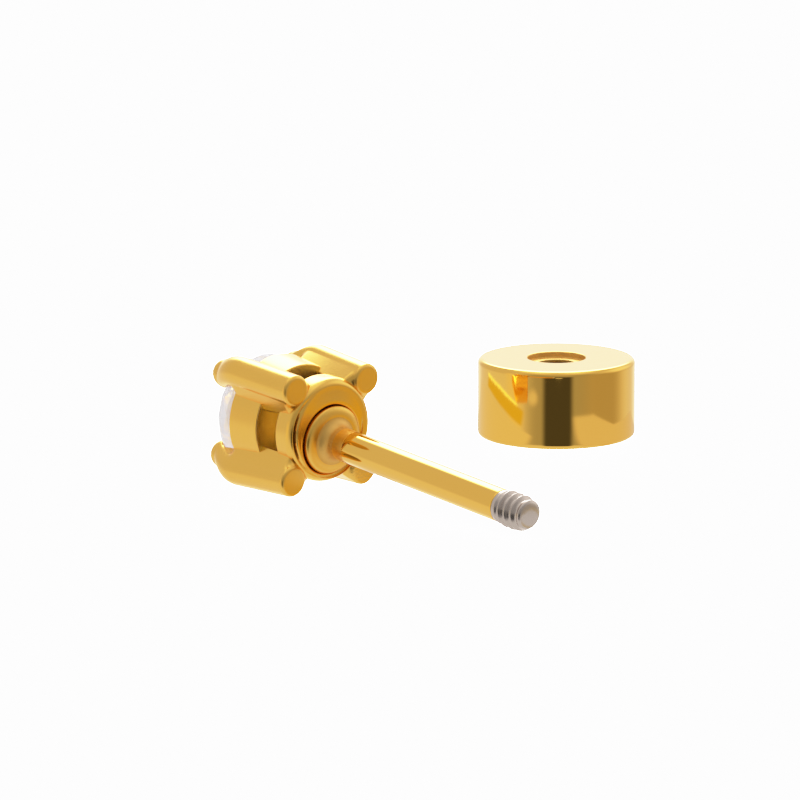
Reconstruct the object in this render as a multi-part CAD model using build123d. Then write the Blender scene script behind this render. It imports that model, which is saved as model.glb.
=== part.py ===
from build123d import *
import math
import os

# A screw-on flat back ear stud, in millimetres, with its disc lying beside it.
# +X is the stud's level direction from stone to tip, +Z is up, and the origin is
# the bottom centre of everything together, on the surface that the stud lies on.

# Basket: four wires soldered round a cup and a base ring
wire_radius = 0.39
wire_solder_depth = 0.088
wire_end_rounding = 0.11
wire_flare_deg = 2.75
straight_wire_length = 1.9
claw_length = 1.24
short_claw_length = 1.0
claw_tip_radius = 0.37
claw_hook = 0.25

# Solder between each wire and the rings: a web that widens towards the axis
web_inner_radius = 1.17
web_rear = 0.06
web_front = 2.0
web_outer_half_width = 0.37
web_rear_half_width = 0.40
web_front_half_width = 0.52

cup_rear = 1.15
cup_front = 2.08
cup_rear_radius = 1.44
cup_front_radius = 1.54
cup_wall = 0.22
cup_floor = 0.20
cup_hole_radius = 0.70
cup_edge_rounding = 0.05

base_radius = 1.31
# Each wire is soldered to the base ring's side, so the ring sets how far out it stands
wire_offset = (base_radius + wire_radius - wire_solder_depth) / math.sqrt(2)
base_front = 0.58
base_shoulder = 0.06
base_dome = 0.04
base_face_radius = 1.17
base_groove_radius = 0.06
base_groove_side_offset = 0.03
base_edge_rounding = 0.05

# Stone: a round brilliant that sits in notches in the four claws
stone_radius = 1.42
stone_setting_depth = 2.59
stone_girdle = 0.09
stone_table_share = 0.57
stone_crown_deg = 34.5
stone_pavilion_deg = 40.75
stone_star_share = 0.50
stone_lower_half_share = 0.77
stone_clearance = 0.03

# Post: one turned piece, riveted through the base, with a thread past its bare neck
post_lean_deg = 2.95
post_side_offset = 0.06
post_low_offset = 0.25
post_seat_height = 0.10
collar_radius = 0.86
collar_height = 0.27
collar_rim_width = 0.18
collar_rounding = 0.08
cove_height = 0.27
shank_radius = 0.41
shank_length = 6.2
spigot_radius = 0.60
rivet_radius = 0.80
rivet_thickness = 0.16
rivet_web = 0.11
post_clearance = 0.03
collar_clearance = 0.04

# Thread, shared by the post and the disc
thread_radius = 0.45
thread_depth = 0.085
thread_pitch = 0.225
thread_foot_share = 0.92
thread_crest_share = 0.16
thread_taper = 0.012
thread_length = 0.80
bare_neck_length = 0.16
thread_lead_in = 0.25
tip_length = 0.10
thread_clearance = 0.02

# Disc: a thick round back with a counterbored, tapped blind hole
disc_radius = 2.0
disc_thickness = 2.0
disc_rim_rounding = 0.13
counterbore_radius = 0.74
counterbore_depth = 0.15
relief_radius = 0.49
relief_depth = 0.20
hole_depth = 1.65
disc_along = -1.50
disc_across = 8.81

facet_count = 8
# How far a cutting or joining body runs past the face that it crosses
overrun = 0.02


def wire_reach(back):
    """Distance of a wire's centre line from the basket's axis, each way across."""
    return wire_offset + math.tan(math.radians(wire_flare_deg)) * back


def stud_axis_height():
    """Height of the basket's axis where the wires end, with two wires on the surface."""
    return (wire_radius + wire_offset) * math.cos(math.radians(wire_flare_deg))


def axis_plane(origin, droop_deg):
    """A plane whose normal is an axis along +X that droops; its x runs across, its y up."""
    droop = math.radians(droop_deg)
    return Plane(origin=origin, x_dir=(0, 1, 0), z_dir=(math.cos(droop), 0, -math.sin(droop)))


basket_plane = axis_plane((0, 0, stud_axis_height()), wire_flare_deg)
post_seat = basket_plane.from_local_coords(
    Vector(post_side_offset, -post_low_offset, post_seat_height))
post_plane = axis_plane(post_seat, wire_flare_deg + post_lean_deg)


def turned(points):
    """A solid of revolution round Z from a closed outline of (radius, height) points."""
    outline = Polyline(*[(radius, 0, height) for radius, height in points], close=True)
    return revolve(make_face(outline), Axis.Z)


def claw_sections(length):
    """Circles along the bent claw, up to the ball at its end: place, inward shift, radius."""
    table = (
        # share of length, share of hook, share of the thinning to the tip
        (0.00, 0.00, 0.0),
        (0.44, 0.22, 0.0),
        (0.80, 0.57, 0.4),
        (1.00, 1.00, 1.0),
    )
    thinning = wire_radius - claw_tip_radius
    for length_share, hook_share, thin_share in table:
        back = straight_wire_length + length_share * (length - claw_tip_radius)
        yield back, hook_share * claw_hook, wire_radius - thin_share * thinning


def solder_web(side, rise):
    """The solder along one wire: a bar from the wire's middle in towards the axis."""
    diagonal = math.degrees(math.atan2(rise, side))

    def section(back, inner_half_width):
        corners = [
            (web_inner_radius, -inner_half_width),
            (math.sqrt(2) * wire_reach(back), -web_outer_half_width),
            (math.sqrt(2) * wire_reach(back), web_outer_half_width),
            (web_inner_radius, inner_half_width),
        ]
        outline = make_face(Polyline(*corners, close=True))
        return Pos(0, 0, -back) * Rot(0, 0, diagonal) * outline

    ends = [section(web_rear, web_rear_half_width), section(web_front, web_front_half_width)]
    return loft(ends, ruled=True)


def wire(side, rise, claw):
    """One wire: a straight leg whose end is rounded, and a claw that hooks inward."""
    def circle_at(back, shift, radius):
        reach = wire_reach(back) - shift
        return Plane(origin=(side * reach, rise * reach, -back)) * Circle(radius)

    leg = loft([circle_at(0, 0, wire_radius), circle_at(straight_wire_length, 0, wire_radius)])
    leg = fillet(leg.edges().sort_by(Axis.Z)[-1], wire_end_rounding)
    sections = [circle_at(*row) for row in claw_sections(claw)]
    tip_back = straight_wire_length + claw - claw_tip_radius
    tip_reach = wire_reach(tip_back) - claw_hook
    tip = Pos(side * tip_reach, rise * tip_reach, -tip_back)
    return leg + loft(sections) + tip * Sphere(claw_tip_radius)


def stone_envelope():
    """The stone's round outline with its clearance, which notches the claws."""
    gap = stone_clearance
    crown = stone_radius * math.tan(math.radians(stone_crown_deg))
    pavilion = stone_radius * math.tan(math.radians(stone_pavilion_deg))
    half_girdle = stone_girdle / 2
    middle = -stone_setting_depth
    return turned([
        (0, middle - half_girdle - crown - gap),
        (stone_radius + gap, middle - half_girdle - gap),
        (stone_radius + gap, middle + half_girdle + gap),
        (0, middle + half_girdle + pavilion + gap),
    ])


def cup():
    """The flared cup behind the stone, with a floor and a hole under the stone's point."""
    front_inner = cup_front_radius - cup_wall
    rear_inner = cup_rear_radius - cup_wall
    body = turned([
        (cup_hole_radius, -cup_rear),
        (cup_rear_radius, -cup_rear),
        (cup_front_radius, -cup_front),
        (front_inner, -cup_front),
        (rear_inner, -cup_rear - cup_floor),
        (cup_hole_radius, -cup_rear - cup_floor),
    ])
    outer = body.edges().filter_by(GeomType.CIRCLE).group_by(SortBy.RADIUS)[-2:]
    return fillet([edge for group in outer for edge in group], cup_edge_rounding)


def base():
    """The base ring and its plate, with the rivet's stepped hole along the post's axis."""
    body = turned([
        (0, -base_front),
        (base_radius, -base_front),
        (base_radius, -base_shoulder),
        (base_face_radius, base_dome),
        (0, base_dome),
    ])
    body = fillet(body.edges().filter_by(GeomType.CIRCLE), base_edge_rounding)
    groove_radius = (base_radius + base_face_radius) / 2 - base_groove_side_offset
    groove_height = (base_dome - base_shoulder) / 2
    body -= Pos(-base_groove_side_offset, 0, groove_height) * Torus(groove_radius, base_groove_radius)
    return body


def post_hole():
    """The stepped hole: counterbore for the collar, hole for the spigot, room for the rivet."""
    floor = -collar_height - post_clearance
    web = floor - rivet_web
    counterbore = turned([
        (0, floor),
        (collar_radius + collar_clearance, floor),
        (collar_radius + collar_clearance, collar_height),
        (0, collar_height),
    ])
    through = turned([
        (0, web - overrun),
        (spigot_radius + post_clearance, web - overrun),
        (spigot_radius + post_clearance, floor + overrun),
        (0, floor + overrun),
    ])
    recess = turned([
        (0, -base_front - rivet_thickness - post_seat_height),
        (rivet_radius + post_clearance, -base_front - rivet_thickness - post_seat_height),
        (rivet_radius + post_clearance, web),
        (0, web),
    ])
    return counterbore + through + recess


def prong_basket():
    """Wires, cup and base as one soldered piece, notched for the stone."""
    body = cup() + base()
    for side, rise, claw in (
        (-1, 1, claw_length),
        (1, 1, short_claw_length),
        (-1, -1, claw_length),
        (1, -1, claw_length),
    ):
        body += wire(side, rise, claw) + solder_web(side, rise)
    body -= stone_envelope()
    return basket_plane.location * body - post_plane.location * post_hole()


def brilliant():
    """A round brilliant: table, stars, kites and halves, cut round at the girdle."""
    step = 2 * math.pi / facet_count
    outer = stone_radius / math.cos(step / 4)
    crown = math.tan(math.radians(stone_crown_deg))
    pavilion = math.tan(math.radians(stone_pavilion_deg))
    half_girdle = stone_girdle / 2
    table_radius = stone_table_share * stone_radius
    star_radius = table_radius + stone_star_share * (stone_radius - table_radius)
    lower_radius = (1 - stone_lower_half_share) * stone_radius

    def at(turn, radius, height):
        return Vector(radius * math.cos(turn * step), radius * math.sin(turn * step), height)

    def crown_height(radius, turn_off):
        return half_girdle + (outer - radius * math.cos(turn_off * step)) * crown

    def pavilion_depth(radius, turn_off):
        return -half_girdle - (outer - radius * math.cos(turn_off * step)) * pavilion

    table_height = crown_height(table_radius, 0)
    point = Vector(0, 0, pavilion_depth(0, 0))
    faces = [[at(k, table_radius, table_height) for k in range(facet_count)]]
    for k in range(facet_count):
        table_here = at(k, table_radius, table_height)
        table_next = at(k + 1, table_radius, table_height)
        star = at(k + 0.5, star_radius, crown_height(star_radius, 0.5))
        star_before = at(k - 0.5, star_radius, crown_height(star_radius, 0.5))
        lower = at(k + 0.5, lower_radius, pavilion_depth(lower_radius, 0.5))
        lower_before = at(k - 0.5, lower_radius, pavilion_depth(lower_radius, 0.5))
        rim = [at(k + half / 2, outer, half_girdle) for half in range(3)]
        foot = [at(k + half / 2, outer, -half_girdle) for half in range(3)]
        faces.append([table_here, table_next, star])
        faces.append([table_here, star, rim[0], star_before])
        faces.append([star, rim[0], rim[1]])
        faces.append([star, rim[1], rim[2]])
        faces.append([rim[0], rim[1], foot[1], foot[0]])
        faces.append([rim[1], rim[2], foot[2], foot[1]])
        faces.append([lower, foot[0], foot[1]])
        faces.append([lower, foot[1], foot[2]])
        faces.append([point, lower, foot[0], lower_before])
    facets = [Face(Wire.make_polygon(corners, close=True)) for corners in faces]
    rough = Solid(Shell(facets))
    return rough & Cylinder(stone_radius, 2 * (table_height - point.Z))


def stone():
    """The brilliant turned so that its table faces away from the post."""
    seated = Pos(0, 0, -stone_setting_depth) * Rot(180, 0, 0) * brilliant()
    return basket_plane.location * seated


def thread_ridge(crest, root, start, length):
    """A helical ridge from root to crest radius round Z, sunk a little into its core."""
    half_foot = thread_foot_share * thread_pitch / 2
    half_crest = thread_crest_share * thread_pitch / 2
    path = Helix(pitch=thread_pitch, height=length, radius=root)
    sunk = root - overrun
    corners = [
        (sunk, 0, -half_foot),
        (crest, 0, -half_crest),
        (crest, 0, half_crest),
        (sunk, 0, half_foot),
    ]
    profile = make_face(Polyline(*corners, close=True))
    return Pos(0, 0, start) * sweep(profile, path, is_frenet=True)


def threaded_post():
    """Rivet head, spigot, collar, cove, shank, thread and rounded tip."""
    rivet_rear = -collar_height - rivet_web - 2 * post_clearance
    rivet_front = rivet_rear - rivet_thickness
    core = thread_radius - thread_depth
    core_end = core - thread_taper
    thread_end = shank_length + bare_neck_length + thread_length
    rim_inner = collar_radius - collar_rim_width
    mid_arc = 1 - math.cos(math.radians(45))
    sides = Polyline(
        (0, 0, rivet_front),
        (rivet_radius, 0, rivet_front),
        (rivet_radius, 0, rivet_rear),
        (spigot_radius, 0, rivet_rear),
        (spigot_radius, 0, -collar_height),
        (collar_radius, 0, -collar_height),
        (collar_radius, 0, -collar_rounding),
    )
    edge_round = ThreePointArc(
        (collar_radius, 0, -collar_rounding),
        (collar_radius - mid_arc * collar_rounding, 0, -mid_arc * collar_rounding),
        (collar_radius - collar_rounding, 0, 0),
    )
    rim = Line((collar_radius - collar_rounding, 0, 0), (rim_inner, 0, 0))
    cove = ThreePointArc(
        (rim_inner, 0, 0),
        (shank_radius + mid_arc * (rim_inner - shank_radius), 0, mid_arc * cove_height),
        (shank_radius, 0, cove_height),
    )
    thread_begin = shank_length + bare_neck_length
    shank = Polyline(
        (shank_radius, 0, cove_height),
        (shank_radius, 0, thread_begin),
        (core, 0, thread_begin),
        (core_end, 0, thread_end),
    )
    ball = (core_end ** 2 + tip_length ** 2) / (2 * tip_length)
    ball_middle = thread_end + tip_length - ball
    half_turn = math.atan2(core_end, thread_end - ball_middle) / 2
    tip = ThreePointArc(
        (core_end, 0, thread_end),
        (ball * math.sin(half_turn), 0, ball_middle + ball * math.cos(half_turn)),
        (0, 0, thread_end + tip_length),
    )
    axis_line = Line((0, 0, thread_end + tip_length), (0, 0, rivet_front))
    body = revolve(make_face([sides, edge_round, rim, cove, shank, tip, axis_line]), Axis.Z)
    ridge = thread_ridge(
        thread_radius,
        core,
        thread_begin + thread_pitch / 2,
        thread_length - thread_pitch,
    )
    lead_in = turned([
        (0, thread_begin),
        (thread_radius + overrun, thread_begin),
        (thread_radius + overrun, thread_end - thread_lead_in),
        (core, thread_end + overrun),
        (0, thread_end + overrun),
    ])
    return post_plane.location * (body + (ridge & lead_in))


def flat_back_disc():
    """The disc, face up: a counterbore, a relief for the post's neck and a tapped hole."""
    body = Pos(0, 0, disc_thickness / 2) * Cylinder(disc_radius, disc_thickness)
    body = fillet(body.edges(), disc_rim_rounding)
    bore = thread_radius - thread_depth + thread_clearance
    floor = disc_thickness - hole_depth
    ledge = disc_thickness - counterbore_depth
    relief_floor = ledge - relief_depth
    body -= turned([
        (0, floor),
        (bore - thread_taper, floor),
        (bore, relief_floor),
        (relief_radius, relief_floor),
        (relief_radius, ledge),
        (counterbore_radius, ledge),
        (counterbore_radius, disc_thickness + counterbore_depth),
        (0, disc_thickness + counterbore_depth),
    ])
    thread_foot = floor + thread_pitch
    body -= thread_ridge(
        thread_radius + thread_clearance,
        bore,
        thread_foot,
        relief_floor + thread_pitch / 2 - thread_foot,
    )
    return Pos(disc_along, disc_across, 0) * body


nodes = {
    "stone": stone(),
    "prong_basket": prong_basket(),
    "threaded_post": threaded_post(),
    "flat_back_disc": flat_back_disc(),
}
boxes = [shape.bounding_box() for shape in nodes.values()]
low = [min(getattr(box.min, side) for box in boxes) for side in "XYZ"]
high = [max(getattr(box.max, side) for box in boxes) for side in "XYZ"]
to_origin = Pos(-(low[0] + high[0]) / 2, -(low[1] + high[1]) / 2, -low[2])
os.makedirs("parts", exist_ok=True)
for name, shape in nodes.items():
    export_step(to_origin * shape, f"parts/{name}.step")
print("shift", to_origin.position)
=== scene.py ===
import bpy
import math
import mathutils
import numpy as np
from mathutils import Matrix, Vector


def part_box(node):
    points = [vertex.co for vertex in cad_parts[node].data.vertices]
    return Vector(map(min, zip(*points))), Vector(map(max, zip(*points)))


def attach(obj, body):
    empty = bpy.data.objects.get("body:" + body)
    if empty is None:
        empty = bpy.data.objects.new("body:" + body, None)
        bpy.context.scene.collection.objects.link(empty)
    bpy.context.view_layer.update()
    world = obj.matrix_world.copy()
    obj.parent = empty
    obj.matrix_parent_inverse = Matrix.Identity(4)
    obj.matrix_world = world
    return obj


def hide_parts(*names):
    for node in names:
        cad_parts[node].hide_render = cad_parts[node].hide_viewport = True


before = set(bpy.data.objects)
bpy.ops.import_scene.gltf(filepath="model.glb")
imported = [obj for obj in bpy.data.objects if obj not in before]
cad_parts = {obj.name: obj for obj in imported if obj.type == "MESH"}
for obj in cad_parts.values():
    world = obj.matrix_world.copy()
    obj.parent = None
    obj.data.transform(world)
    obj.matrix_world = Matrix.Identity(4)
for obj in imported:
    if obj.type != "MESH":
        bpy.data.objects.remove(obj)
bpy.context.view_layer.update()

# A gold-plated flat back ear stud lying on a pale surface, its screw-on disc beside it.
# Sizes are in millimetres, and mm turns them to metres. They repeat the part's own, but
# for small roundings and gaps and the height of the collar's cove.
mm = 0.001

# Where the stud lies: its basket stands on its two lower wires, and droops by their flare
wire_radius = 0.39
solder_depth = 0.088
base_radius = 1.31
wire_offset = (base_radius + wire_radius - solder_depth) / math.sqrt(2)
wire_flare = math.radians(2.75)
straight_wire = 1.9
claw_tip_radius = 0.37
claw_hook = 0.25
long_claw = 1.24
short_claw = 1.0

# The disc, and its centre as seen from the stud's origin
disc_along = -1.50
disc_across = 8.81
disc_radius = 2.0
disc_thickness = 2.0

# Post: it sits a little low in the basket and leans a little more
post_lean = math.radians(2.95)
post_side = 0.06
post_low = 0.25
post_seat = 0.10

disc_low, disc_high = (np.array(corner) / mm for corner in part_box("flat_back_disc"))
disc_centre = (disc_low + disc_high) / 2
stud_origin = np.array([disc_centre[0] - disc_along, disc_centre[1] - disc_across, 0.0])


class Axis:
    """A straight axis that droops from level: along it, across it and risen from it."""

    def __init__(self, origin, droop):
        self.origin = np.array(origin, float)
        self.along = np.array([math.cos(droop), 0, -math.sin(droop)])
        self.across = np.array([0.0, 1.0, 0.0])
        self.rise = np.array([math.sin(droop), 0, math.cos(droop)])

    def place(self, across, rise, along):
        """Points in the shared frame from distances across, risen and along the axis."""
        across, rise, along = np.broadcast_arrays(across, rise, along)
        return (self.origin + across[..., None] * self.across + rise[..., None] * self.rise
                + along[..., None] * self.along)


axis_height = (wire_radius + wire_offset) * math.cos(wire_flare)
basket = Axis(stud_origin + [0, 0, axis_height], wire_flare)
post = Axis(basket.place(post_side, -post_low, post_seat), wire_flare + post_lean)


class Upright:
    """An axis that stands upright in the shared frame, as the disc's does."""

    def __init__(self, centre):
        self.centre = np.array([centre[0], centre[1], 0.0])

    def place(self, across, rise, along):
        """Points from distances along X and Y and the height over the surface."""
        across, rise, along = np.broadcast_arrays(across, rise, along)
        return self.centre + np.stack([across, rise, along], axis=-1)


disc = Upright(disc_centre)


# The point that keeps a stretch flat lies this many times the arc's reach from the corner
flat_margin = 1.25


def rounded(corners, steps=8):
    """An outline through (radius, along, rounding) corners, each rounded by an arc.

    Each arc touches both of its sides; a point just outside each end of it keeps the
    flat stretches flat when they are shaded smoothly.
    """
    corners = [np.array(corner, float) for corner in corners]
    outline = [corners[0][:2]]
    for before, here, after in zip(corners, corners[1:], corners[2:]):
        back = before[:2] - here[:2]
        onward = after[:2] - here[:2]
        back /= np.linalg.norm(back)
        onward /= np.linalg.norm(onward)
        opening = math.acos(np.clip(back @ onward, -1, 1))
        if here[2] <= 0:
            outline.append(here[:2])
            continue
        reach = here[2] / math.tan(opening / 2)
        middle = (back + onward) / np.linalg.norm(back + onward)
        centre = here[:2] + middle * here[2] / math.sin(opening / 2)
        start = here[:2] + back * reach - centre
        sweep = math.pi - opening
        turn = np.sign(start[1] * back[0] - start[0] * back[1])
        angles = turn * np.linspace(0, sweep, steps + 1)
        arc = np.stack([start[0] * np.cos(angles) - start[1] * np.sin(angles),
                        start[0] * np.sin(angles) + start[1] * np.cos(angles)], axis=1)
        outline.append(here[:2] + back * reach * flat_margin)
        outline.extend(centre + arc)
        outline.append(here[:2] + onward * reach * flat_margin)
    outline.append(corners[-1][:2])
    return np.array(outline)


def surface(name, points, material, closed_rows=False, first_pole=False, last_pole=False,
            finishes=()):
    """One mesh from a grid of points (rows, columns, 3) in millimetres.

    Columns run round and close on themselves. Rows may close too, or end at a pole,
    where the whole row is one point. Each of the finishes is an array that marks faces, by
    their rows and columns, and the material that they have instead.
    """
    rows, columns, _ = points.shape
    index = np.arange(rows * columns).reshape(rows, columns)
    if first_pole:
        index[0] = index[0, 0]
    if last_pole:
        index[-1] = index[-1, 0]
    if closed_rows:
        index = np.vstack([index, index[:1]])
    index = np.hstack([index, index[:, :1]])
    quads = np.stack([index[:-1, :-1], index[:-1, 1:], index[1:, 1:], index[1:, :-1]], axis=-1)
    quads = quads.reshape(-1, 4)
    used, packed = np.unique(quads, return_inverse=True)
    packed = packed.reshape(-1, 4)
    faces = [[corner for n, corner in enumerate(quad) if corner != quad[n - 1]]
             for quad in packed.tolist()]
    mesh = bpy.data.meshes.new(name)
    mesh.from_pydata((points.reshape(-1, 3)[used] * mm).tolist(), [], faces)
    mesh.validate()
    mesh.polygons.foreach_set("use_smooth", np.ones(len(mesh.polygons), bool))
    piece = bpy.data.objects.new(name, mesh)
    bpy.context.scene.collection.objects.link(piece)
    piece.data.materials.append(material)
    finish = np.zeros((len(index) - 1, columns), np.int32)
    for number, (marked, other_material) in enumerate(finishes, 1):
        piece.data.materials.append(other_material)
        finish = np.where(np.broadcast_to(marked, finish.shape), number, finish)
    mesh.polygons.foreach_set("material_index", finish.ravel().astype(np.int32))
    return piece


def around(columns):
    """Angles once round, without the last, which is the first again."""
    return np.arange(columns) * 2 * math.pi / columns


def smooth_step(value, low, high):
    """0 below low, 1 above high, and a smooth rise between."""
    share = np.clip((value - low) / (high - low), 0, 1)
    return share * share * (3 - 2 * share)


def turned(axis, outline, columns=128):
    """An outline of (radius, along) points carried once round an axis."""
    angle = around(columns)[None, :]
    radius = outline[:, :1]
    return axis.place(radius * np.cos(angle), radius * np.sin(angle), outline[:, 1:2])


def join(name, pieces):
    """Several pieces' meshes as one piece, with its material slots kept."""
    first = pieces[0]
    with bpy.context.temp_override(active_object=first, object=first,
                                   selected_objects=pieces, selected_editable_objects=pieces):
        bpy.ops.object.join()
    first.name = name
    first.data.name = name
    return first


# Materials

def linear(hex_colour):
    """Linear red, green, blue and one from an sRGB hex colour."""
    parts = [int(hex_colour[n:n + 2], 16) / 255 for n in (1, 3, 5)]
    return [c / 12.92 if c <= 0.04045 else ((c + 0.055) / 1.055) ** 2.4 for c in parts] + [1.0]


def node(tree, kind, settings=None, links=None, values=None):
    """Add a node: its settings, its input values, and links from other nodes' outputs."""
    made = tree.nodes.new(kind)
    for key, value in (settings or {}).items():
        setattr(made, key, value)
    for key, value in (values or {}).items():
        made.inputs[key].default_value = value
    for key, source in (links or {}).items():
        tree.links.new(source, made.inputs[key])
    return made


def blank_material(name):
    """A new material and its empty node tree."""
    material = bpy.data.materials.new(name)
    material.use_nodes = True
    material.node_tree.nodes.clear()
    return material, material.node_tree


gold_colour = "#F9C45D"
roughness_drift = 0.15


def gold_plating(name, colour, roughness, wave_size, wave_height, grain_size, grain_height):
    """Yellow gold plated on steel: broad waves from buffing, with a fine grain over them.

    The waves and the grain are noise bumps whose sizes and heights are in millimetres. The
    roughness drifts a little with the waves.
    """
    material, tree = blank_material(name)
    place = node(tree, "ShaderNodeTexCoord").outputs["Object"]
    wave = node(tree, "ShaderNodeTexNoise", links={"Vector": place},
                values={"Scale": 1 / (wave_size * mm), "Detail": 2.0})
    bump = node(tree, "ShaderNodeBump", links={"Height": wave.outputs["Fac"]},
                values={"Strength": 1.0, "Distance": wave_height * mm})
    smear = node(tree, "ShaderNodeMapRange", links={"Value": wave.outputs["Fac"]},
                 values={"To Min": roughness * (1 - roughness_drift),
                         "To Max": roughness * (1 + roughness_drift)})
    grain = node(tree, "ShaderNodeTexNoise", links={"Vector": place},
                 values={"Scale": 1 / (grain_size * mm), "Detail": 3.0})
    bump = node(tree, "ShaderNodeBump",
                links={"Height": grain.outputs["Fac"], "Normal": bump.outputs["Normal"]},
                values={"Strength": 1.0, "Distance": grain_height * mm})
    shader = node(tree, "ShaderNodeBsdfPrincipled",
                  links={"Normal": bump.outputs["Normal"], "Roughness": smear.outputs["Result"]},
                  values={"Base Color": linear(colour), "Metallic": 1.0})
    node(tree, "ShaderNodeOutputMaterial", links={"Surface": shader.outputs["BSDF"]})
    return material


def polished_gold():
    """The disc's and shank's finish: a clear mirror with faint waves from hand buffing."""
    return gold_plating("polished gold plating", gold_colour, 0.055, 0.9, 0.0008, 0.05, 0.0)


def tumbled_gold():
    """The basket's finish: tumbled bright, so its mirror is a little soft."""
    return gold_plating("tumbled gold plating", gold_colour, 0.22, 0.35, 0.0012, 0.05, 0.0)


def satin_gold():
    """Gold on the collar and on cut ends, which no buff reached: satin, with no clear mirror."""
    return gold_plating("satin gold plating", gold_colour, 0.30, 0.35, 0.002, 0.05, 0.001)


def matt_gold():
    """Gold in the collar's cove and the disc's counterbore, left as turned: matt all over."""
    return gold_plating("matt gold plating", "#E8B964", 0.50, 0.35, 0.002, 0.05, 0.003)


def pitted_gold():
    """Plated gold on a wire's torn end: a coarse grain that glitters."""
    return gold_plating("pitted gold plating", gold_colour, 0.22, 0.35, 0.002, 0.055, 0.016)


def hollow_shade_plating():
    """Gold in the hollows, where no buff reaches: finely grained, in a less saturated tone that
    is painted shade.
    """
    return gold_plating("grained gold with painted hollow shade", "#E6D07A", 0.34, 0.35, 0.002, 0.045, 0.006)


def crevice_shade_gold():
    """Gold in the narrowest gaps, the groove and the bores, painted dull and brown as their
    shade.
    """
    return gold_plating("gold painted dark as crevice shade", "#A67E3C", 0.45, 0.35, 0.002, 0.045, 0.006)


mark_size = 0.12
mark_height = 0.02
mark_strength = 0.15


def bare_steel():
    """Turned stainless steel at the thread, left bare: grey, with fine tool marks."""
    material, tree = blank_material("bare turned steel")
    place = node(tree, "ShaderNodeTexCoord").outputs["Object"]
    marks = node(tree, "ShaderNodeTexNoise", links={"Vector": place},
                 values={"Scale": 1 / (mark_size * mm), "Detail": 3.0})
    bump = node(tree, "ShaderNodeBump", links={"Height": marks.outputs["Fac"]},
                values={"Strength": mark_strength, "Distance": mark_height * mm})
    shader = node(tree, "ShaderNodeBsdfPrincipled", links={"Normal": bump.outputs["Normal"]},
                  values={"Base Color": linear("#C9BBB0"), "Metallic": 1.0, "Roughness": 0.24})
    node(tree, "ShaderNodeOutputMaterial", links={"Surface": shader.outputs["BSDF"]})
    return material


def cubic_zirconia():
    """Polished colourless cubic zirconia, whose many inner mirrors the eye sees as white.

    A share of it is matt white, and a faint painted glow brightens it, standing in for the light
    of the mirrors too small to be traced.
    """
    material, tree = blank_material("clear cubic zirconia")
    shader = node(tree, "ShaderNodeBsdfPrincipled",
                  values={"Base Color": linear("#F3F1F3"), "Roughness": 0.0, "IOR": 2.15,
                          "Transmission Weight": 0.8, "Emission Color": linear("#F6F2F6"),
                          "Emission Strength": 0.15})
    node(tree, "ShaderNodeOutputMaterial", links={"Surface": shader.outputs["BSDF"]})
    return material


gold = polished_gold()
soft_gold = tumbled_gold()
cut_gold = satin_gold()
cove_gold = matt_gold()
torn_gold = pitted_gold()
# Painted shade: a less saturated gold for the hollows inside the basket
hollow_shade_gold = hollow_shade_plating()
# Painted shade: dark brown gold for the narrowest gaps, the groove and the bores
painted_shade_gold = crevice_shade_gold()
steel = bare_steel()
zirconia = cubic_zirconia()


# Cup behind the stone. Distances back along the basket are from the wires' rear ends.

cup_rear = 1.15
cup_front = 2.08
cup_rear_radius = 1.44
cup_front_radius = 1.54
cup_wall = 0.22
cup_floor = 0.20
cup_hole = 0.70
cup_rounding = 0.04
cup_corner = 0.05
cup_seam = 1.0
seam_gap = 0.01
cup_hollow = 0.97 * cup_rear_radius

# The basket's wires, with the solder that joins them to the cup and the base

wire_rounding = 0.09
leg_start = 0.12

# The solder between wire and ring: how near the basket's axis it comes, its half width at
# the rear and at the cup, and the share of its outline that its sides take
web_inner_radius = 1.17
web_rear_width = 0.45
web_cup_width = 0.60
side_share = 0.75

# How far behind a wire's rear end its solder begins, is whole, thins and is gone, and how
# far the finish of its cut end reaches and the painted shade of the hollows starts
solder_begins = 0.03
solder_whole = 0.20
solder_thins = 1.96
solder_gone = 2.24
cut_reach = 0.07
hollow_start = 0.10

# The stone, which the wires and claws keep clear of
stone_radius = 1.42
stone_setting = 2.59
stone_girdle = 0.09
crown_slope = math.tan(math.radians(34.5))
pavilion_slope = math.tan(math.radians(40.75))
stone_gap = 0.03
smallest_reach = 1e-6


def keep_off_stone(across, rise, along):
    """Push points that lie inside the stone's outline, with its gap, out to that outline."""
    reach = np.hypot(across, rise)
    behind = along + stone_setting
    half = stone_girdle / 2 + stone_gap
    slope = np.where(behind < 0, crown_slope, pavilion_slope)
    edge = stone_radius + stone_gap - np.clip(np.abs(behind) - half, 0, None) / slope
    grow = np.where(reach < edge, edge / np.maximum(reach, smallest_reach), 1.0)
    return across * grow, rise * grow, along


def section(radius, depth, half_width, solder, angle):
    """A wire's outline with its solder: outward and sideways distances for each angle.

    It mixes two outlines by the share of solder. One is the wire's circle. The other keeps
    the circle's outer half and runs on towards the basket's axis: its sides widen evenly as
    far as depth, and end in a flat face.
    """
    inner = np.abs(angle) / (math.pi / 2) - 1
    way_in = np.clip(inner / side_share, 0, 1)
    to_middle = np.clip((inner - side_share) / (1 - side_share), 0, 1)
    side = np.sign(angle)
    outward = radius * np.cos(angle)
    sideways = radius * np.sin(angle)
    web_out = -depth * way_in
    web_side = side * (radius + (half_width - radius) * way_in) * (1 - to_middle)
    share = np.where(inner > 0, solder, 0)
    return outward + share * (web_out - outward), sideways + share * (web_side - sideways)


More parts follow.
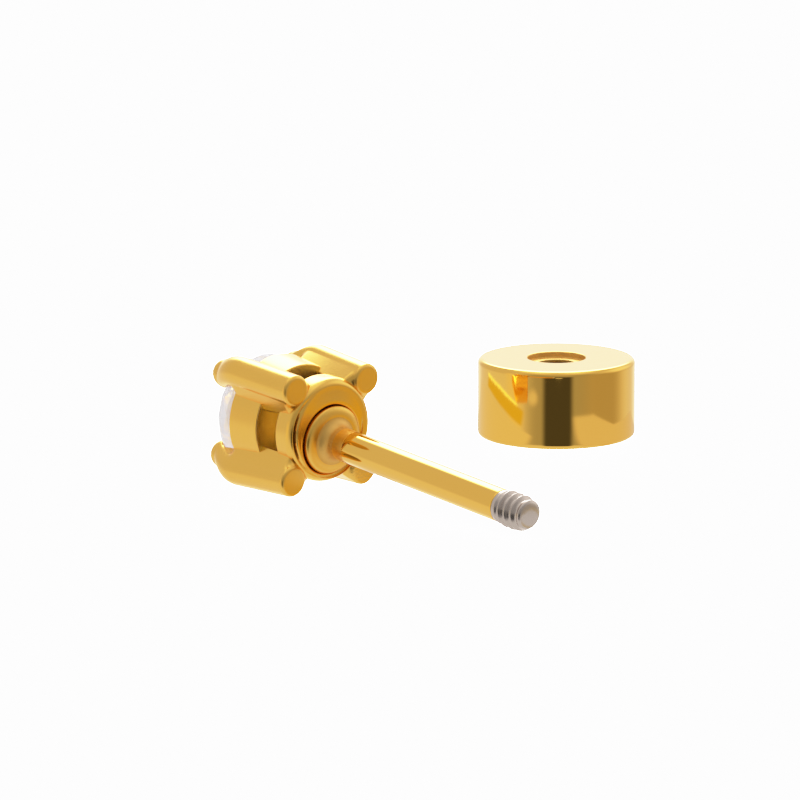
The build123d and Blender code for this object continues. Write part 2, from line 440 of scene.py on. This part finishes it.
def wire(name, side, rise, claw, end_finish, columns=112):
    """A wire: sections carried along its straight leg and its claw, which hooks inward.

    The side and rise signs say which of the four it is. Rows go from the flat rear end
    round its rounded edge, along the leg with its solder, along the claw, whose centre
    shifts in with the square of the way along it, and over the ball at its end.
    """
    leg_rows, claw_rows, ball_rows = 60, 26, 20
    rear = rounded([(0, 0, 0), (wire_radius, 0, wire_rounding), (wire_radius, -leg_start, 0)])
    rear = rear[:-1]
    leg = np.linspace(leg_start, straight_wire, leg_rows)
    tip_back = straight_wire + claw - claw_tip_radius
    claw_share = np.linspace(0, 1, claw_rows)[1:]
    ball = np.linspace(0, math.pi / 2, ball_rows)[1:]
    radius = np.concatenate([
        rear[:, 0], np.full(len(leg), wire_radius),
        wire_radius - claw_share ** 3 * (wire_radius - claw_tip_radius),
        claw_tip_radius * np.cos(ball)])[:, None]
    back = np.concatenate([
        -rear[:, 1], leg,
        straight_wire + claw_share * (tip_back - straight_wire),
        tip_back + claw_tip_radius * np.sin(ball)])[:, None]
    shift = np.concatenate([
        np.zeros(len(rear) + len(leg)), claw_share ** 2 * claw_hook,
        np.full(len(ball), claw_hook)])[:, None]
    reach = wire_offset + math.tan(wire_flare) * back - shift
    solder = smooth_step(back, solder_begins, solder_whole)
    solder = solder * (1 - smooth_step(back, solder_thins, solder_gone))
    depth = math.sqrt(2) * reach - web_inner_radius
    half_width = web_rear_width + (web_cup_width - web_rear_width) * back / cup_front
    angle = around(columns)[None, :] - math.pi
    outward, sideways = section(radius, depth, half_width, solder, angle)
    across = side * reach + (side * outward - rise * sideways) / math.sqrt(2)
    up = rise * reach + (rise * outward + side * sideways) / math.sqrt(2)
    points = basket.place(*keep_off_stone(across, up, -back))
    flank_end = np.abs(angle) > math.pi / 2 * (1 + side_share)
    # Painted shade: the solder's inner face inside the basket takes the hollow's shade gold
    hollow = flank_end & (back > hollow_start) & (back < cup_front)
    cut = np.broadcast_to(back < cut_reach, points.shape[:2])
    return surface(name, points[::-1], soft_gold, first_pole=True, last_pole=True,
                   finishes=((hollow[::-1][:-1], hollow_shade_gold), (cut[::-1][:-1], end_finish)))


def cup():
    """The flared cup: a closed outline of wall and floor turned round the basket's axis.

    The outline starts and ends on the flat rear face, at the seam. Faces that end inside
    the hollow's radius are painted with the hollow's shade.
    """
    outline = rounded([
        (cup_seam - seam_gap, -cup_rear, 0),
        (cup_hole, -cup_rear, cup_rounding),
        (cup_hole, -cup_rear - cup_floor, cup_rounding),
        (cup_rear_radius - cup_wall, -cup_rear - cup_floor, cup_corner),
        (cup_front_radius - cup_wall, -cup_front, cup_rounding),
        (cup_front_radius, -cup_front, cup_rounding),
        (cup_rear_radius, -cup_rear, cup_rounding),
        (cup_seam, -cup_rear, 0),
    ])
    # Painted shade: faces inside the hollow's radius
    hollow = np.roll(outline[:, :1], -1, axis=0) < cup_hollow
    return surface("stone_cup", turned(basket, outline), soft_gold, closed_rows=True,
                   finishes=((hollow, hollow_shade_gold),))


# Base ring and plate, with the stepped hole on the post's axis

base_front = 0.58
front_start = 1.0
base_shoulder = 0.22
base_dome = 0.01
base_rounding = 0.18
plate_rise = -0.03
plate_edge = 1.03

# The groove, the power by which it fades away from the near side, and the share of its
# depth from which it is painted dark as shade
groove_radius = 1.15
groove_width = 0.035
groove_depth = 0.16
groove_fade = 6
groove_dark = 0.4

# The collar's hole: its gap, its edge, how far the plate's points are kept off it, and how
# far it is off centre, but for its foot
hole_gap = 0.016
hole_rounding = 0.07
hole_clearance = 0.09
hole_side = 0.018
hole_up = 0.01
hole_foot = 0.04

# What the hole takes: the collar, the spigot and the rivet head, with the web between
collar_radius = 0.86
collar_height = 0.27
post_gap = 0.03
spigot_radius = 0.60
rivet_radius = 0.80
rivet_thickness = 0.16
rivet_rounding = 0.04
rivet_web = 0.11
recess_depth = 0.05

# Roundings of turned edges
edge_rounding = 0.03
small_rounding = 0.02


def keep_off_hole(across, rise, hole):
    """Push points that lie inside the collar's hole, with its clearance, out to its edge."""
    from_side = across - (post_side - hole_side)
    from_low = rise - (hole_up - post_low)
    reach = np.hypot(from_side, from_low)
    grow = np.maximum(hole + hole_clearance, reach) / reach - 1
    return across + grow * from_side, rise + grow * from_low


def base():
    """The base: rings on the basket's axis outside, and on the post's axis in the hole.

    Outside, a profile is turned round the basket's axis, its points are kept off the hole,
    and a groove sinks by a bell curve of the radius, deepest on the near side. Inside, a
    profile is turned round the post's axis, with the collar's hole a little off its centre.
    Between the two, each row mixes both.
    """
    columns, shoulder_rows, plate_rows, mixed_rows = 160, 40, 9, 8
    # Rows of the hole's edge that keep the plate's finish, rows as far as the foot of the
    # gap round the collar, and rows of the front face that are painted dark as shade
    edge_rows, gap_rows, front_rows = 8, 24, 2
    hole = collar_radius + hole_gap
    floor = -collar_height - post_gap
    web = floor - rivet_web
    foot = rounded([
        (front_start, -base_front, 0),
        (base_radius, -base_front, edge_rounding),
        (base_radius, -base_shoulder, 0),
    ])
    turn = np.linspace(0, math.pi / 2, shoulder_rows)[1:]
    shoulder = np.stack([base_radius - base_rounding * (1 - np.cos(turn)),
                         -base_shoulder + (base_shoulder + base_dome) * np.sin(turn)], axis=1)
    flat = np.linspace(base_radius - base_rounding, plate_edge, plate_rows)[1:]
    plate = np.stack([flat, np.full(len(flat), base_dome)], axis=1)
    outside = np.concatenate([foot, shoulder, plate])
    inside = rounded([
        (hole + hole_clearance, plate_rise - post_seat, 0),
        (hole, plate_rise - post_seat, hole_rounding),
        (hole, floor, edge_rounding),
        (spigot_radius + post_gap, floor, small_rounding),
        (spigot_radius + post_gap, web, small_rounding),
        (rivet_radius + post_gap, web, small_rounding),
        (rivet_radius + post_gap, -base_front - recess_depth, 0.0),
    ])
    angle = around(columns)[None, :]
    radius = outside[:, :1]
    face = outside[:, 1:] > -base_front / 2
    towards_side = np.clip(-np.cos(angle), 0, 1) ** groove_fade
    groove = np.exp(-((radius - groove_radius) / groove_width) ** 2) * face * towards_side
    across, rise = keep_off_hole(radius * np.cos(angle), radius * np.sin(angle), hole)
    outer_points = basket.place(across, rise, outside[:, 1:] - groove_depth * groove)
    inner_points = turned(post, inside, columns)
    in_collar_hole = (inside[:, 1:] > floor + hole_foot)[..., None]
    off_centre = hole_up * basket.rise - hole_side * basket.across
    inner_points = inner_points + in_collar_hole * off_centre
    share = np.linspace(0, 1, mixed_rows)[1:-1, None, None]
    face_points = outer_points[-1] * (1 - share) + inner_points[0] * share
    front_points = inner_points[-1] * (1 - share) + outer_points[0] * share
    points = np.concatenate([outer_points, face_points, inner_points, front_points])
    row = np.arange(len(points))[:, None]
    past_edge = row - len(outer_points) - len(face_points)
    # Painted shade: the front face and the hole past the gap's foot are dark gold
    hollow = (row < front_rows) | (past_edge >= edge_rows)
    gap_wall = (past_edge >= edge_rows) & (past_edge < gap_rows)
    groove_shade = np.zeros((len(points), columns), bool)
    # Painted shade: the deeper part of the groove is dark gold
    groove_shade[:len(outer_points)] = groove > groove_dark
    return surface("base_ring", points, soft_gold, closed_rows=True,
                   finishes=((hollow, painted_shade_gold), (gap_wall, cut_gold), (groove_shade, painted_shade_gold)))


# Post and thread. Distances along the post are from the top of the collar's rim.

collar_rim = 0.24
collar_side = 0.11
cove_height = 0.20
cove_turn = 1.25
cove_finish = 0.12
root_finish = 0.50
shank_radius = 0.41
gold_end = 6.24
gold_step = 0.012
gold_end_rise = 0.004
gold_end_ring = 0.2
neck_overlap = 0.10
neck_step = 0.006
thread_start = 6.33
thread_end = 7.14
thread_crest = 0.45
thread_root = 0.345
thread_pitch = 0.225
crest_sharpness = 1.3
fade_in = (thread_start - 0.05, thread_start + 0.12)
fade_out = (thread_end - 0.25, thread_end)
fade_out_share = 0.55
dome_height = 0.10
dome_roundness = 0.55


def shank():
    """Rivet head, spigot, collar, cove and the gold part of the shank, turned.

    The collar's rim is a quarter of an ellipse. The cove is a part of another, and turns
    short of a right angle, so it meets the shank at a slight corner.
    """
    rim_rows, cove_rows, rod_rows = 24, 24, 120
    rivet_rear = -collar_height - rivet_web - 2 * post_gap
    rim_inner = collar_radius - collar_rim
    head = rounded([
        (0, rivet_rear - rivet_thickness, 0),
        (rivet_radius, rivet_rear - rivet_thickness, rivet_rounding),
        (rivet_radius, rivet_rear, edge_rounding),
        (spigot_radius, rivet_rear, small_rounding),
        (spigot_radius, -collar_height, small_rounding),
        (collar_radius, -collar_height, edge_rounding),
        (collar_radius, -collar_side, 0),
    ])
    turn = np.linspace(0, math.pi / 2, rim_rows)[1:]
    rim = np.stack([rim_inner + collar_rim * np.cos(turn),
                    collar_side * (np.sin(turn) - 1)], axis=1)
    turn = np.linspace(0, cove_turn, cove_rows)[1:]
    hollow = np.stack([
        rim_inner - (rim_inner - shank_radius) * np.sin(turn) / math.sin(cove_turn),
        cove_height * (1 - np.cos(turn)) / (1 - math.cos(cove_turn))], axis=1)
    along = np.linspace(cove_height, gold_end, rod_rows)[1:]
    rod = np.stack([np.full(len(along), shank_radius), along], axis=1)
    end = np.array([(radius, gold_end + gold_end_rise)
                    for radius in (shank_radius - gold_step, gold_end_ring, 0.0)])
    outline = np.concatenate([head, rim, hollow, rod, end])
    row = np.arange(len(outline) - 1)[:, None]
    softer = outline[:-1, 1:] < cove_height + root_finish
    root = softer & (row >= len(head) - 1)
    cove = (outline[:-1, 1:] < cove_height + cove_finish) & (row >= len(head) + len(rim))
    return surface("post_shank", turned(post, outline), gold, first_pole=True, last_pole=True,
                   finishes=((softer, soft_gold), (root, cut_gold), (cove, cove_gold)))


def ridge(angle, along):
    """Height from 0 in the groove to 1 on the crest of a helical thread, rounded."""
    turn = along / thread_pitch - angle / (2 * math.pi)
    wave = 0.5 - 0.5 * np.cos(2 * math.pi * turn)
    return wave ** crest_sharpness


def thread():
    """The bare end: a neck, a thread whose radius is the helix's ridge, and a low dome.

    The neck starts inside the gold part. The thread's ridge fades in after it, and is lower
    near the tip.
    """
    neck_rows, thread_rows, dome_rows, columns = 14, 120, 14, 144
    neck = np.linspace(gold_end - neck_overlap, thread_start, neck_rows)[:, None]
    cut = np.linspace(thread_start, thread_end, thread_rows)[1:, None]
    along = np.concatenate([neck, cut])
    angle = around(columns)[None, :]
    full = smooth_step(along, *fade_in)
    run_out = 1 - fade_out_share * smooth_step(along, *fade_out)
    threaded = thread_root + (thread_crest - thread_root) * run_out * ridge(angle, along)
    radius = (1 - full) * (shank_radius - neck_step) + full * threaded
    ball = np.linspace(0, math.pi / 2, dome_rows)[1:]
    end_radius = radius[-1:] * np.cos(ball)[:, None] ** dome_roundness
    end_along = thread_end + dome_height * np.sin(ball)[:, None] + 0 * angle
    radius = np.concatenate([radius * np.ones_like(angle), end_radius])
    along = np.concatenate([along * np.ones_like(angle), end_along])
    radius = np.concatenate([np.zeros((1, radius.shape[1])), radius])
    along = np.concatenate([along[:1], along])
    points = post.place(radius * np.cos(angle), radius * np.sin(angle), along)
    return surface("thread_end", points, steel, first_pole=True, last_pole=True)


# Disc

disc_rim = 0.13
counterbore_radius = 0.74
counterbore_depth = 0.15
counterbore_taper = 0.02
counterbore_rounding = 0.035
mouth_clearance = 0.02
mouth_depth = 0.08
mouth_rounding = 0.01
hole_depth = 1.65
bore_radius = 0.385
bore_relief = 0.01
bore_thread = 0.085
bore_corner = 0.04

# Where the bore's thread starts under the ledge, where it ends and is full over the foot,
# and where the plain wall at the bottom starts
thread_below_ledge = 0.1
thread_over_foot = 0.25
full_over_foot = 0.4
plain_over_foot = 0.2


def flat_disc():
    """The disc: a turned outline with a counterbore, and a bore whose wall is threaded.

    The bore and the last few rows before it are painted dull and dark as the deep hole's shade.
    """
    columns, thread_rows, mouth_rows = 256, 110, 3
    bore = bore_radius
    ledge = disc_thickness - counterbore_depth
    foot = disc_thickness - hole_depth
    outline = rounded([
        (0, 0, 0),
        (disc_radius, 0, disc_rim),
        (disc_radius, disc_thickness, disc_rim),
        (counterbore_radius, disc_thickness, counterbore_rounding),
        (counterbore_radius - counterbore_taper, ledge, edge_rounding),
        (thread_crest + mouth_clearance, ledge, mouth_rounding),
        (bore + bore_relief, ledge - mouth_depth, 0.0),
    ], steps=12)
    solid = turned(disc, outline, columns)
    down = np.linspace(ledge - thread_below_ledge, foot + thread_over_foot, thread_rows)[:, None]
    angle = around(columns)[None, :]
    wall = bore + bore_thread * ridge(angle, down)
    full = smooth_step(down, foot + thread_over_foot, foot + full_over_foot)
    wall = bore + (wall - bore) * full
    threaded = disc.place(wall * np.cos(angle), wall * np.sin(angle), down)
    bottom = rounded([(bore, foot + plain_over_foot, 0), (bore, foot, bore_corner), (0, foot, 0)])
    points = np.concatenate([solid, threaded, turned(disc, bottom, columns)])
    counterbore = np.zeros((len(points) - 1, 1), bool)
    counterbore[:len(outline)] = outline[:, :1] < counterbore_radius + counterbore_taper / 2
    counterbore[:len(outline)] &= outline[:, 1:] > ledge - small_rounding
    # Painted shade: the bore and the mouth's last rows
    deep = np.zeros_like(counterbore)
    deep[len(solid) - mouth_rows:] = True
    return surface("screw_disc", points, gold, first_pole=True, last_pole=True,
                   finishes=((counterbore, cove_gold), (deep, painted_shade_gold)))


# Stone: its table, stars and lower halves as shares of a standard cut

table_share = 0.57
star_share = 0.50
lower_share = 0.23


def brilliant():
    """A round brilliant: flat table, stars, kites and halves, over a scalloped girdle.

    Its corners lie in rings. Kites and mains are planes that rise or fall from the girdle
    by the crown's and the pavilion's slope, and the halves between them cut the girdle at
    the height of their own planes. The stone is then turned over, so its table faces out.
    """
    count = 8
    fine = 8
    step = 2 * math.pi / count
    outer = stone_radius
    half = stone_girdle / 2
    table_radius = table_share * stone_radius
    star_radius = table_radius + star_share * (stone_radius - table_radius)
    lower_radius = lower_share * stone_radius
    turn = np.arange(count) * step

    def crown_at(radius, off):
        """Height of a kite's plane at a radius, off its middle line by an angle."""
        return half + (outer - radius * np.cos(off)) * crown_slope

    def below_at(radius, off):
        """Height of a main's plane at a radius, off its middle line by an angle."""
        return -half - (outer - radius * np.cos(off)) * pavilion_slope

    def ring(radius, angles, height):
        """Points round the stone's axis at one radius."""
        height = np.broadcast_to(height, angles.shape)
        return np.stack([radius * np.cos(angles), radius * np.sin(angles), height], axis=1)

    table = ring(table_radius, turn, crown_at(table_radius, 0.0))
    star = ring(star_radius, turn + step / 2, crown_at(star_radius, step / 2))
    lower = ring(lower_radius, turn + step / 2, below_at(lower_radius, step / 2))
    rim_angle = np.arange(count * fine) * step / fine
    corner = rim_angle % step
    near = np.where(corner > step / 2, step - corner, corner)

    def scallop(apex_radius, apex_height, base_height):
        """Height of a half facet's plane at the rim, from its apex and two rim corners."""
        apex = np.array([apex_radius * math.cos(step / 2), apex_radius * math.sin(step / 2),
                         apex_height])
        first = np.array([outer, 0, base_height])
        second = np.array([outer * math.cos(step / 2), outer * math.sin(step / 2), base_height])
        normal = np.cross(first - apex, second - apex)
        x, y = outer * np.cos(near), outer * np.sin(near)
        return apex[2] - (normal[0] * (x - apex[0]) + normal[1] * (y - apex[1])) / normal[2]

    def rim(n):
        """A rim corner's number, which starts again after the last."""
        return n % (count * fine)

    top = ring(outer, rim_angle, scallop(star_radius, star[0, 2], half))
    foot = ring(outer, rim_angle, scallop(lower_radius, lower[0, 2], -half))
    point = np.array([[0, 0, below_at(0.0, 0.0)]])
    points = np.concatenate([table, star, lower, top, foot, point])
    starts = np.cumsum([0, count, count, count, count * fine, count * fine])
    table_n, star_n, lower_n, top_n, foot_n, point_n = starts
    faces = [[table_n + k for k in range(count)]]
    for k in range(count):
        after = (k + 1) % count
        middle = k * fine + fine // 2
        main = k * fine
        faces.append([table_n + k, star_n + k, table_n + after])
        faces.append([table_n + k, star_n + (k - 1) % count, top_n + main, star_n + k])
        first = [top_n + rim(n) for n in range(main, middle + 1)]
        second = [top_n + rim(n) for n in range(middle, main + fine + 1)]
        faces.append([star_n + k] + first)
        faces.append([star_n + k] + second)
        first = [foot_n + rim(n) for n in range(main, middle + 1)]
        second = [foot_n + rim(n) for n in range(middle, main + fine + 1)]
        faces.append([lower_n + k] + first[::-1])
        faces.append([lower_n + k] + second[::-1])
        faces.append([point_n, lower_n + k, foot_n + main, lower_n + (k - 1) % count])
    for n in range(count * fine):
        after = rim(n + 1)
        faces.append([foot_n + n, foot_n + after, top_n + after, top_n + n])
    local = points * [1, -1, -1] + [0, 0, -stone_setting]
    world = basket.place(local[:, 0], local[:, 1], local[:, 2])
    mesh = bpy.data.meshes.new("stone")
    mesh.from_pydata((world * mm).tolist(), [], faces)
    mesh.validate()
    piece = bpy.data.objects.new("round_brilliant", mesh)
    bpy.context.scene.collection.objects.link(piece)
    mesh.materials.append(zirconia)
    return piece


wires = join("claw_wires", [
    wire("wire_a", -1, 1, long_claw, cut_gold),
    wire("wire_b", 1, 1, short_claw, cut_gold),
    wire("wire_c", -1, -1, long_claw, cut_gold),
    wire("wire_d", 1, -1, long_claw, torn_gold),
])
for piece, slot, cad_node in (
    (wires, "gold_plating", "prong_basket"),
    (cup(), "gold_plating", "prong_basket"),
    (base(), "gold_plating", "prong_basket"),
    (shank(), "gold_plating", "threaded_post"),
    (thread(), "bare_steel", "threaded_post"),
    (flat_disc(), "gold_plating", "flat_back_disc"),
    (brilliant(), "clear_stone", "stone"),
):
    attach(piece, "root")
    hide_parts(cad_node)


# Surface, light and camera

sheet_half = 1500
sheet_glow = 5.0


def pale_surface():
    """A plain white sheet under everything, lit as evenly white as the photograph's.

    The metal and the stone mirror the studio's own card for the sheet in its place.
    """
    mesh = bpy.data.meshes.new("pale_surface")
    half = sheet_half * mm
    mesh.from_pydata([(-half, -half, 0), (half, -half, 0), (half, half, 0), (-half, half, 0)],
                     [], [(0, 1, 2, 3)])
    sheet = bpy.data.objects.new("pale_surface", mesh)
    bpy.context.scene.collection.objects.link(sheet)
    material, tree = blank_material("matt white sheet")
    shader = node(tree, "ShaderNodeBsdfPrincipled",
                  values={"Base Color": linear("#FFFFFF"), "Roughness": 1.0,
                          "Emission Color": linear("#FFFFFF"), "Emission Strength": sheet_glow})
    node(tree, "ShaderNodeOutputMaterial", links={"Surface": shader.outputs["BSDF"]})
    mesh.materials.append(material)
    sheet.visible_glossy = False
    sheet.visible_diffuse = False
    sheet.visible_transmission = False


# The camera looks at a point on the sheet beside the stud. The picture's half width in
# pixels and the pixels in a millimetre at that point give half its view, as a slope.
camera_elevation = math.radians(11.5)
camera_azimuth = math.radians(-41.0)
camera_distance = 220.0
half_picture = 400
pixels_per_mm = 38.6
half_view = half_picture / (pixels_per_mm * camera_distance)
look_along = -7.41
look_across = 8.69
sensor_width = 36.0
near_limit = 0.01


def camera():
    """The photograph's view: a long lens, low over the surface, from behind the post."""
    data = bpy.data.cameras.new("camera")
    data.sensor_width = sensor_width
    data.lens = sensor_width / (2 * half_view)
    data.clip_start = near_limit
    holder = bpy.data.objects.new("camera", data)
    bpy.context.scene.collection.objects.link(holder)
    out = np.array([math.cos(camera_elevation) * math.cos(camera_azimuth),
                    math.cos(camera_elevation) * math.sin(camera_azimuth),
                    math.sin(camera_elevation)])
    right = np.array([-math.sin(camera_azimuth), math.cos(camera_azimuth), 0])
    up = np.cross(out, right)
    target = stud_origin + [look_along, look_across, 0]
    matrix = np.eye(4)
    matrix[:3, 0], matrix[:3, 1], matrix[:3, 2] = right, up, out
    matrix[:3, 3] = (target + camera_distance * out) * mm
    holder.matrix_world = mathutils.Matrix(matrix.tolist())
    bpy.context.scene.camera = holder


# What the polished metal mirrors: soft cards round the stud, as seen from it. Each row
# gives a card's azimuth from the camera's and its elevation, half its size and the width
# of its soft edge each way, in degrees, then its colour and its brightness.
room_light = 0.70
cards = (
    # azimuth, half width, edge, elevation, half height, edge, colour, brightness
    ("sheet", 0, 190, 1, -60, 52, 14, "#FFFFFF", 0.86),
    ("front wall", 8, 54, 44, 8, 30, 30, "#FFFFFF", 0.42),
    ("right corner", 74, 32, 44, -8, 22, 16, "#FFF4E0", 0.49),
    ("amber corner", 84, 34, 26, -33, 18.5, 5, "#FFDC58", 0.72),
    ("overhead", 180, 150, 60, 78, 18, 22, "#FFFFFF", 1.1),
    ("left window", -66, 12, 20, -4, 14, 18, "#FFF4D8", 0.95),
    ("right window", 116, 26, 44, 22, 20, 30, "#FFFFFF", 1.15),
    ("backdrop", 180, 24, 30, 24, 34, 44, "#FFFFFF", 1.44),
    ("back light", 180, 19, 22, 44, 18, 24, "#FFFFFF", 8.0),
    ("backdrop's foot", 180, 30, 34, -35, 34, 30, "#FFFFFF", 1.2),
    ("camera", 1, 21, 12, -18, 16, 10, "#FFFFFF", 0.075),
)

# Light on the sheet close by, which only the polished metal mirrors: each row is an
# azimuth from the camera's, in degrees, and the near and far edge in millimetres. The
# first two are whole circles before the basket and past the thread. The next two start at
# the disc's foot, and the yellow ones lie farther out.
round_patch = ((-180, 0.0, 1.5), (180, 0.0, 1.5))
thread_patch = ((-180, 0.0, 1.4), (180, 0.0, 1.4))
right_patch = ((16, 2.02, 6.4), (46, 2.02, 6.4), (72, 2.02, 4.45), (93, 2.02, 4.5),
               (108, 2.02, 4.85), (120, 2.02, 5.0))
left_patch = ((-137, 2.02, 9.0), (-103, 2.02, 8.0), (-78, 2.02, 6.45), (-44, 2.02, 4.45),
              (-24, 2.02, 3.6))
yellow_patch = ((-112, 8.2, 10.1), (-105, 8.0, 9.8), (-82, 6.6, 9.0), (-63, 5.5, 7.9),
                (-50, 4.8, 7.2), (-40, 4.3, 6.7))
yellow_line = ((-112, 9.6, 10.4), (-105, 9.3, 10.1), (-82, 8.5, 9.2), (-63, 7.5, 8.1),
               (-50, 6.9, 7.3))


# A glow lies just over the sheet. It fades over this share of its length at each end, and
# at its near edge only where that lies this far clear of the disc.
patch_height = 0.003
soft_end = 0.08
clear_of_disc = 0.1


def light_patch(name, centre, edges, colour, brightness, soft):
    """A glow on the sheet: a polar strip between its two edges, which fades at its rim.

    Its points are the centre plus a radius between the edges' radii, each worked out for
    its azimuth. The soft share of the strip's width at a rim fades to nothing.
    """
    columns, rows = 60, 24
    degrees = np.linspace(edges[0][0], edges[-1][0], columns)
    near, far = (np.interp(degrees, [row[0] for row in edges], [row[n] for row in edges])
                 for n in (1, 2))
    share = np.linspace(0, 1, rows)[:, None]
    radius = near + (far - near) * share
    angle = np.radians(degrees) + camera_azimuth
    points = centre.place(radius * np.cos(angle), radius * np.sin(angle), patch_height)
    turn = np.linspace(0, 1, columns)[None, :]
    cover = 1 - smooth_step(share, 1 - soft, 1)
    if near[0] > disc_radius + clear_of_disc:
        cover = cover * smooth_step(share, 0, soft)
    if edges[-1][0] - edges[0][0] < 360:
        cover = cover * smooth_step(turn, 0, soft_end) * (1 - smooth_step(turn, 1 - soft_end, 1))
    index = np.arange(rows * columns).reshape(rows, columns)
    quads = np.stack([index[:-1, :-1], index[:-1, 1:], index[1:, 1:], index[1:, :-1]], axis=-1)
    mesh = bpy.data.meshes.new(name)
    mesh.from_pydata((points.reshape(-1, 3) * mm).tolist(), [], quads.reshape(-1, 4).tolist())
    strength = mesh.attributes.new("cover", "FLOAT", "POINT")
    strength.data.foreach_set("value", np.broadcast_to(cover, index.shape).ravel())
    material, tree = blank_material(name)
    glow = node(tree, "ShaderNodeEmission",
                values={"Color": linear(colour), "Strength": brightness}).outputs["Emission"]
    clear = node(tree, "ShaderNodeBsdfTransparent").outputs["BSDF"]
    cover_share = node(tree, "ShaderNodeAttribute", {"attribute_name": "cover"}).outputs["Fac"]
    mixed = node(tree, "ShaderNodeMixShader", links={0: cover_share, 1: clear, 2: glow})
    node(tree, "ShaderNodeOutputMaterial", links={"Surface": mixed.outputs["Shader"]})
    mesh.materials.append(material)
    patch = bpy.data.objects.new(name, mesh)
    bpy.context.scene.collection.objects.link(patch)
    patch.visible_camera = False
    patch.visible_diffuse = False
    patch.visible_shadow = False
    patch.visible_transmission = False


# How the print renders brightness: each row is a linear brightness and what it prints as,
# up to the brightness that is printed pure white
print_white = 4.0
print_curve = (
    (0.0, 0.0),
    (0.70, 0.70),
    (1.00, 0.863),
    (1.30, 0.945),
    (2.00, 0.985),
    (4.00, 1.0),
)


def exposure_curve():
    """A photograph's soft shoulder: each channel is even up to a bright tone, then bends."""
    view = bpy.context.scene.view_settings
    view.view_transform = "Standard"
    view.use_curve_mapping = True
    mapping = view.curve_mapping
    mapping.white_level = (print_white, print_white, print_white)
    all_channels = mapping.curves[3]
    points = all_channels.points
    points[-1].location = (1.0, 1.0)
    for brightness, printed in print_curve[1:-1]:
        points.new(brightness / print_white, printed)
    points[0].handle_type = "VECTOR"
    points[1].handle_type = "VECTOR"
    mapping.update()


def studio():
    """A plain white room, with each soft card laid over it by its share at each direction."""
    world = bpy.data.worlds.new("studio")
    bpy.context.scene.world = world
    world.use_nodes = True
    tree = world.node_tree
    tree.nodes.clear()
    direction = node(tree, "ShaderNodeTexCoord").outputs["Generated"]
    turned_way = node(tree, "ShaderNodeVectorRotate", {"rotation_type": "Z_AXIS"},
                      {"Vector": direction}, {"Angle": -camera_azimuth})
    split = node(tree, "ShaderNodeSeparateXYZ", links={"Vector": turned_way.outputs["Vector"]})
    azimuth = node(tree, "ShaderNodeMath", {"operation": "ARCTAN2"},
                   {0: split.outputs["Y"], 1: split.outputs["X"]}).outputs["Value"]
    elevation = node(tree, "ShaderNodeMath", {"operation": "ARCSINE"},
                     {0: split.outputs["Z"]}).outputs["Value"]

    def share(angle, middle, half, edge):
        """1 within half of the middle and 0 beyond, with a smooth edge; angles wrap round."""
        off = node(tree, "ShaderNodeMath", {"operation": "SUBTRACT"}, {0: angle},
                   {1: math.radians(middle)})
        wrapped = node(tree, "ShaderNodeMath", {"operation": "WRAP"},
                       {0: off.outputs["Value"]}, {1: math.pi, 2: -math.pi})
        size = node(tree, "ShaderNodeMath", {"operation": "ABSOLUTE"},
                    {0: wrapped.outputs["Value"]})
        return node(tree, "ShaderNodeMapRange", {"interpolation_type": "SMOOTHERSTEP"},
                    {"Value": size.outputs["Value"]},
                    {"From Min": math.radians(half - edge / 2),
                     "From Max": math.radians(half + edge / 2),
                     "To Min": 1.0, "To Max": 0.0}).outputs["Result"]

    seen = node(tree, "ShaderNodeCombineColor",
                values={0: room_light, 1: room_light, 2: room_light}).outputs["Color"]
    for name, turn, half_width, edge, rise, half_height, edge_up, colour, brightness in cards:
        across = share(azimuth, turn, half_width, edge)
        upward = share(elevation, rise, half_height, edge_up)
        both = node(tree, "ShaderNodeMath", {"operation": "MULTIPLY"}, {0: across, 1: upward})
        card = [channel * brightness for channel in linear(colour)[:3]] + [1.0]
        seen = node(tree, "ShaderNodeMix", {"data_type": "RGBA", "label": name},
                    {0: both.outputs["Value"], 6: seen}, {7: card}).outputs[2]
    back = node(tree, "ShaderNodeBackground", links={"Color": seen})
    node(tree, "ShaderNodeOutputWorld", links={"Surface": back.outputs["Background"]})


pale_surface()
camera()
studio()
exposure_curve()
before_basket = Upright(stud_origin + [1.0, 0.7, 0])
past_thread = Upright(stud_origin + [thread_end + 1.2, 0.9, 0])
light_patch("basket_glow", before_basket, round_patch, "#FFFBF4", 0.82, 0.8)
light_patch("thread_glow", past_thread, thread_patch, "#FFFFFF", 0.82, 0.4)
light_patch("right_glow", disc, right_patch, "#FFFAF4", 0.80, 0.12)
light_patch("left_glow", disc, left_patch, "#FFFBF0", 0.87, 0.12)
light_patch("yellow_glow", disc, yellow_patch, "#FFE75C", 0.80, 0.2)
light_patch("yellow_line", disc, yellow_line, "#FFF9A6", 2.0, 0.4)
